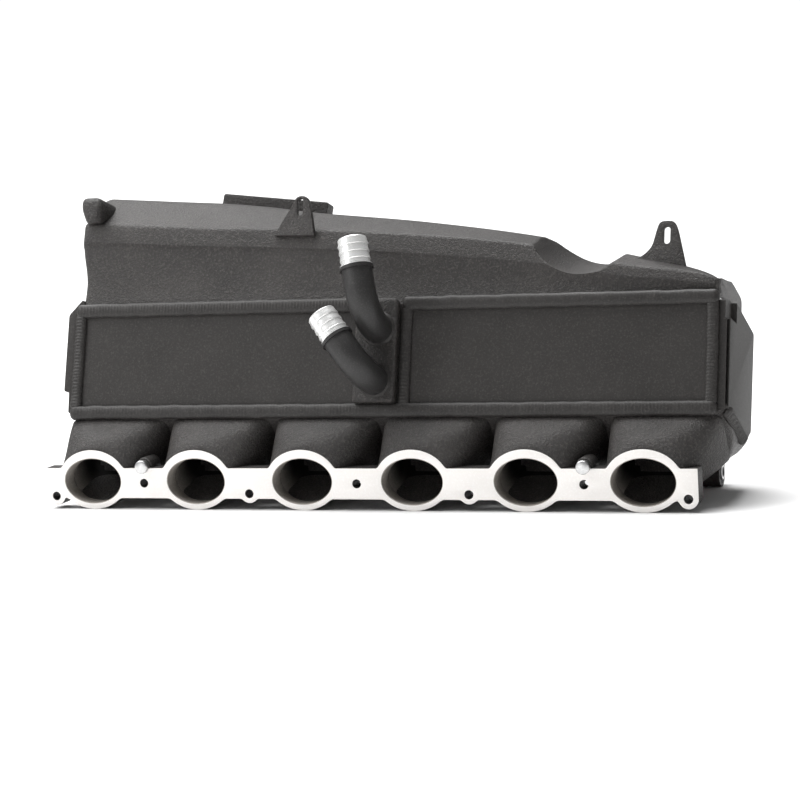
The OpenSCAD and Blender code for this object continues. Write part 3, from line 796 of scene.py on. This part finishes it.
def makeBead(name, node, path, outward, wide, high, depth, seed):
    lengths = [0]
    for a, b in zip(path, path[1:]):
        lengths.append(lengths[-1] + (b - a).length / mm)
    total = lengths[-1]
    along = max(24, round(total / bead["step"]))

    def at(s):
        s = min(max(s, 0), total)
        i = max(k for k in range(len(path) - 1) if lengths[k] <= s + 1e-6)
        t = (s - lengths[i]) / (lengths[i + 1] - lengths[i])
        return path[i].lerp(path[i + 1], t), (path[i + 1] - path[i]).normalized()

    def skin(u, v):
        s = v * total
        centre, ahead = at(s)
        smooth = (at(s + 3)[0] - at(s - 3)[0]).normalized()
        side = smooth.cross(outward).normalized()
        a = math.pi * u
        sway = noise.noise(Vector((s / 17, seed, 0)))
        swell = 1 + 0.07 * noise.noise(Vector((s / 9, seed, 5)))
        end = min(s, total - s)
        close = math.sqrt(max(0, 1 - (1 - min(end / (wide * 0.4), 1)) ** 2))
        phase = (s - bead["bow"] * math.sin(a) + 0.5 * sway) / bead["ripple"]
        saw = phase - math.floor(phase)
        scale = (1 - saw) ** 0.7 * min(1, saw * 6)
        lift = high * swell + depth * (scale - 0.5)
        half = wide / 2 * swell + 0.3 * depth * scale
        across = power(math.cos(a), 0.8) * half
        up = math.sin(a) ** 0.75 * lift * close - bead["sink"] * (1 if u in (0, 1) else 0)
        return centre + side * (across * close + 0.5 * sway) * mm + outward * up * mm

    piece = wrappedGrid(name, 14, along, skin)
    finish(piece, [weldCoat], "weld_coat", node, angle=60)


# Coolant port plate; the two top beads stop at its sides
portPlate = {"x": (-8, 27), "w": (-1, 82), "thick": 9, "bore": 9.5, "upper": (12, 57.5),
             "lower": (10.5, 16.5)}

front = Vector((0, -cosLean, sinLean))
topW, lowW = core["top"], core["low"]
leftX, rightX = core["left"] - 1, core["right"] + 1


def frontLine(*points):
    return [lean(x, n, w) for x, n, w in points]


def makeBeads():
    wide, high = bead["wide"], bead["high"]
    plateLeft, plateRight = portPlate["x"]
    level = (("beadTopLeft", "weld_top_left", leftX, plateLeft + 2, topW, 0.45, 1),
             ("beadTopRight", "weld_top_right", plateRight + 1, rightX, topW, 0.12, 2),
             ("beadBottom", "weld_bottom", leftX, rightX, lowW, 0.3, 3))
    for name, node, x0, x1, w, depth, seed in level:
        makeBead(name, node, frontLine((x0, 0, w), (x1, 0, w)), front, wide, high, depth, seed)
    upright = (("beadLeft", "weld_left", bead["leftX"], 0.82, 0.8, 0.75, 4),
               ("beadCentre", "weld_centre", bead["centreX"], 0.8, 0.8, 0.5, 5),
               ("beadRight", "weld_right", bead["rightX"], 0.78, 0.75, 0.7, 6))
    for name, node, x, narrow, flat, depth, seed in upright:
        path = frontLine((x, 0, lowW + 2), (x, 0, topW - 2))
        makeBead(name, node, path, front, wide * narrow, high * flat, depth, seed)
    back = core["depth"]
    rear = (("beadRearTop", "weld_rear_top", topW), ("beadRearBottom", "weld_rear_bottom", lowW))
    for name, node, w in rear:
        makeBead(name, node, frontLine((leftX, back, w), (rightX, back, w)), -front, wide, high, 0.4, 7)
    seam = frontLine(*((bead["seamX"], n, w) for n, w in ((2, -8), (30, -14), (60, -20.5), (66, -21))))
    makeBead("beadEndSeam", "weld_end_seam", seam, Vector((0.8, 0, -0.6)), 9, 2.6, 0.9, 8)


makeBeads()
print("weld beads made")

# An outline whose corners are (x, y, radius), drawn round once
def roundedLoop(corners, steps=4):
    points = []
    for i, (x, y, r) in enumerate(corners):
        here = Vector((x, y))
        before = Vector(corners[i - 1][:2]) - here
        after = Vector(corners[(i + 1) % len(corners)][:2]) - here
        reach = min(r, before.length * 0.48, after.length * 0.48)
        a, c = here + before.normalized() * reach, here + after.normalized() * reach
        for k in range(steps + 1) if reach > 0 else [0]:
            t = k / steps
            points.append(tuple(a * (1 - t) ** 2 + here * 2 * t * (1 - t) + c * t * t))
    return points


across, inwards, upwards = Vector((1, 0, 0)), Vector((0, cosLean, -sinLean)), Vector((0, sinLean, cosLean))


def frameAt(place, x, y, z):
    return Matrix.Translation(place) @ Matrix((x, y, z)).transposed().to_4x4()


# A plate that faces forward in the leaning frame, from depth n0 to n1
def facingPlate(name, outline, holes, n0, n1, soften):
    turn = frameAt(lean(0, (n0 + n1) / 2, 0), across, upwards, -inwards)
    return plateFrom(name, outline, holes, n1 - n0, soften, turn)


# A plate that stands across the core's end, from x0 to x1
def endPlate(name, outline, x0, x1, soften):
    turn = frameAt(lean((x0 + x1) / 2, 0, 0), inwards, upwards, across)
    return plateFrom(name, outline, [], x1 - x0, soften, turn)


def slotLoop(x, low, high, r, steps=12):
    angles = [math.pi * k / steps for k in range(steps + 1)]
    top = [(x + r * math.cos(a), high + r * math.sin(a)) for a in angles]
    return top + [(2 * x - a, low + high - b) for a, b in top]


def boxCutter(x, n, w):
    deselectAll()
    bpy.ops.mesh.primitive_cube_add(size=1)
    cutter = bpy.context.object
    sizes = (x[1] - x[0], w[1] - w[0], n[1] - n[0])
    middle = lean((x[0] + x[1]) / 2, (n[0] + n[1]) / 2, (w[0] + w[1]) / 2)
    scaled = Matrix.Diagonal((*(v * mm for v in sizes), 1))
    cutter.data.transform(frameAt(middle, across, upwards, -inwards) @ scaled)
    return cutter


tabs = {"left": {"outline": [(-84, 136.5, 1), (-49, 135.5, 1), (-53.6, 160, 6), (-57, 168.5, 6),
                             (-66, 168.5, 6), (-69.5, 161, 6)],
                 "slot": (-62.5, 155, 164, 2.4), "depth": (-2.5, 2)},
        "right": {"outline": [(208, 112, 0), (216, 115.5, 8), (222.5, 122, 9), (225.5, 134, 6), (228, 142, 6),
                              (239.5, 142, 6), (242.5, 135, 6), (249.7, 105, 2), (248, 97, 0), (210, 98, 0)],
                  "slot": (234, 126.5, 135, 2.5), "depth": (16, 20)}}


def makeTabs():
    for side, tab in tabs.items():
        slot = slotLoop(*tab["slot"])
        outline = roundedLoop(tab["outline"])
        piece = facingPlate(f"coverTab{side.title()}", outline, [slot], *tab["depth"], 0.6)
        finish(piece, [castCoat], "sheet_coat", f"cover_tab_{side}")


makeTabs()

# The corner boss: a lug with a domed nose that runs back into the upper tank
boss = {"outline": [(-253, 152, 3), (-258.5, 165, 6), (-258, 174.5, 6), (-242, 174.5, 6), (-237.5, 166, 6),
                    (-239, 153, 5)], "middle": (-248.5, 163.5), "front": -6, "back": 44, "nose": 7}


def makeCornerBoss():
    line = roundedLoop(boss["outline"], 6)
    line.append(line[0])
    x0, w0 = boss["middle"]
    nose = [(1 - math.cos(math.pi / 12 * k), math.sin(math.pi / 12 * k)) for k in range(7)]
    rows = [(0, 0)] + [(depth * boss["nose"], mix(0.45, 1, full)) for depth, full in nose]
    rows += [(boss["back"] - boss["front"], 1), (boss["back"] - boss["front"], 0)]

    def skin(u, v):
        depth, full = rows[round(v * (len(rows) - 1))]
        x, w = line[round(u * (len(line) - 1))]
        return lean(mix(x0, x, full), boss["front"] + depth, mix(w0, w, full))

    piece = wrappedGrid("cornerBoss", len(line) - 1, len(rows) - 1, skin)
    finish(piece, [castCoat], "cast_coat", "corner_boss", angle=60)


makeCornerBoss()


def makeThrottleFlange():
    h, cut = throttle["half"], throttle["cut"]
    corners = [(cut - h, -h, 1.5), (h - cut, -h, 1.5), (h, cut - h, 1.5), (h, h, 2), (-h, h, 2),
               (-h, cut - h, 1.5)]
    holes = [circleLoop(0, 0, throttle["bore"], 64)]
    roll = math.radians(throttle["roll"])
    x = across * math.cos(roll) - upwards * math.sin(roll)
    y = across * math.sin(roll) + upwards * math.cos(roll)
    depth = core["depth"] + throttle["thick"] / 2
    turn = frameAt(lean(throttle["x"], depth, throttle["w"]), x, y, -inwards)
    piece = plateFrom("throttleFlange", roundedLoop(corners), holes, throttle["thick"], 0.8, turn)
    inner, outer, deep = throttle["groove"]
    face = lean(throttle["x"], core["depth"] + throttle["thick"], throttle["w"])
    ring = [(inner, -deep), (outer, -deep), (outer, 1), (inner, 1), (inner, -deep)]
    cutWith(piece, turnedPiece("grooveCutter", ring, face, inwards))
    bottom = throttle["blind"] - throttle["thick"]
    hole = [(0, bottom), (throttle["insert"], bottom), (throttle["insert"], 1), (0, 1)]
    reach = throttle["pcd"] / 2 * mm
    for a in (math.radians(45 + 90 * i) for i in range(4)):
        centre = face + (x * math.cos(a) + y * math.sin(a)) * reach
        cutWith(piece, turnedPiece("insertCutter", hole, centre, inwards, 24))
    finish(piece, [castCoat], "cast_coat", "throttle_flange")


makeThrottleFlange()

plates = {"left": [(-265, 12, 2), (-265, 76, 2), (-253, 89, 2), (-250, 84, 0), (-250, 78.5, 0), (-256, 76, 0),
                   (-256, -6, 0), (-260, -6, 2), (-260.5, 12, 0)],
          "right": [(1, -6, 1), (1, 76.5, 2), (17, 79, 3), (91, 67, 3), (88, -12, 3), (64, -21, 4),
                    (30, -12, 4)],
          "pocket": ((284, 290), (-2, 24), (62, 82)), "groove": ((285.4, 287.4), (-2, 5), (-4, 68))}


def makeEndPlates():
    piece = facingPlate("endPlateLeft", roundedLoop(plates["left"]), [], 1, core["depth"], 0.8)
    finish(piece, [sheetCoat], "sheet_coat", "end_plate_left")
    piece = endPlate("endPlateRight", roundedLoop(plates["right"]), core["right"], core["right"] + 9, 0.8)
    cutWith(piece, boxCutter(*plates["pocket"]))
    cutWith(piece, boxCutter(*plates["groove"]))
    finish(piece, [sheetCoat], "sheet_coat", "end_plate_right")


makeEndPlates()

def makePortPlate():
    (x0, x1), (w0, w1) = portPlate["x"], portPlate["w"]
    outline = roundedLoop([(x0, w0, 3), (x1, w0, 3), (x1, w1, 5), (x0, w1, 5)])
    holes = [circleLoop(*portPlate[p], portPlate["bore"], 40) for p in ("upper", "lower")]
    piece = facingPlate("coolantPortPlate", outline, holes, -portPlate["thick"], 0, 2.2)
    finish(piece, [castCoat], "sheet_coat", "coolant_port_plate")


makePortPlate()

# Hose nipples: turned, with three low ribs and a chamfered lip
pipes = {"upper": {"turn": -12.4, "run": 16}, "lower": {"turn": -36.9, "run": 8}, "stub": 2, "bend": 28,
         "ribs": (4.6, 10.4, 16.2), "radius": 11.4, "long": 23, "foot": 12.8, "ringPitch": 0.9}


def nippleProfile():
    r, long, bore, foot = pipes["radius"], pipes["long"], portPlate["bore"], pipes["foot"]
    line = [(bore, 0), (foot, 0), (foot, 0.9), (r, 1.1)]
    for z in pipes["ribs"]:
        line += [(r, z), (r + 0.55, z + 0.35), (r + 0.6, z + 0.8), (r, z + 3.6)]
    line += [(r, long - 0.9), (r - 0.5, long - 0.2), (r - 0.9, long)]
    return line + [(bore + 0.4, long), (bore, long - 0.5), (bore, 0)]


def makeNipples():
    for end in ("upper", "lower"):
        turn = math.radians(pipes[end]["turn"])
        x, w = portPlate[end]
        out = pipes["bend"] + pipes[end]["run"]
        place = lean(x + out * math.sin(turn), -portPlate["thick"] - pipes["stub"] - pipes["bend"],
                     w + out * math.cos(turn))
        axis = across * math.sin(turn) + upwards * math.cos(turn)
        piece = turnedPiece(f"hoseNipple{end.title()}", nippleProfile(), place, axis, 96)
        turned = turnedMaterial(f"turned{end.title()}", place, axis, pipes["ringPitch"])
        finish(piece, [turned], "turned_aluminium", f"hose_nipple_{end}", angle=30)


makeNipples()
print("tabs, boss, flange, plates and nipples made")

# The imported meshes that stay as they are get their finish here
finishes = ((sheetCoat, ("front_panel_left", "front_panel_right", "rear_cover")),
            (pipeCoat, ("coolant_pipe_upper", "coolant_pipe_lower")),
            (weldCoat, ("pipe_welds",)),
            (castCoat, ("support_eyes", "injector_bungs")),
            (sealRubber, ("throttle_seal", "rubber_bushes", "plug_seals")),
            (plainSteel, ("thread_inserts", "steel_sleeves")),
            (plugRed, ("injector_plugs",)),
            (coreAlloy, ("core_tubes", "core_fins", "front_header", "rear_header", "core_rail_left",
                         "core_rail_right", "pass_divider")))
for mat, nodes in finishes:
    for node in nodes:
        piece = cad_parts[node]
        piece.data.materials.clear()
        piece.data.materials.append(mat)
print("packed meshes finished")
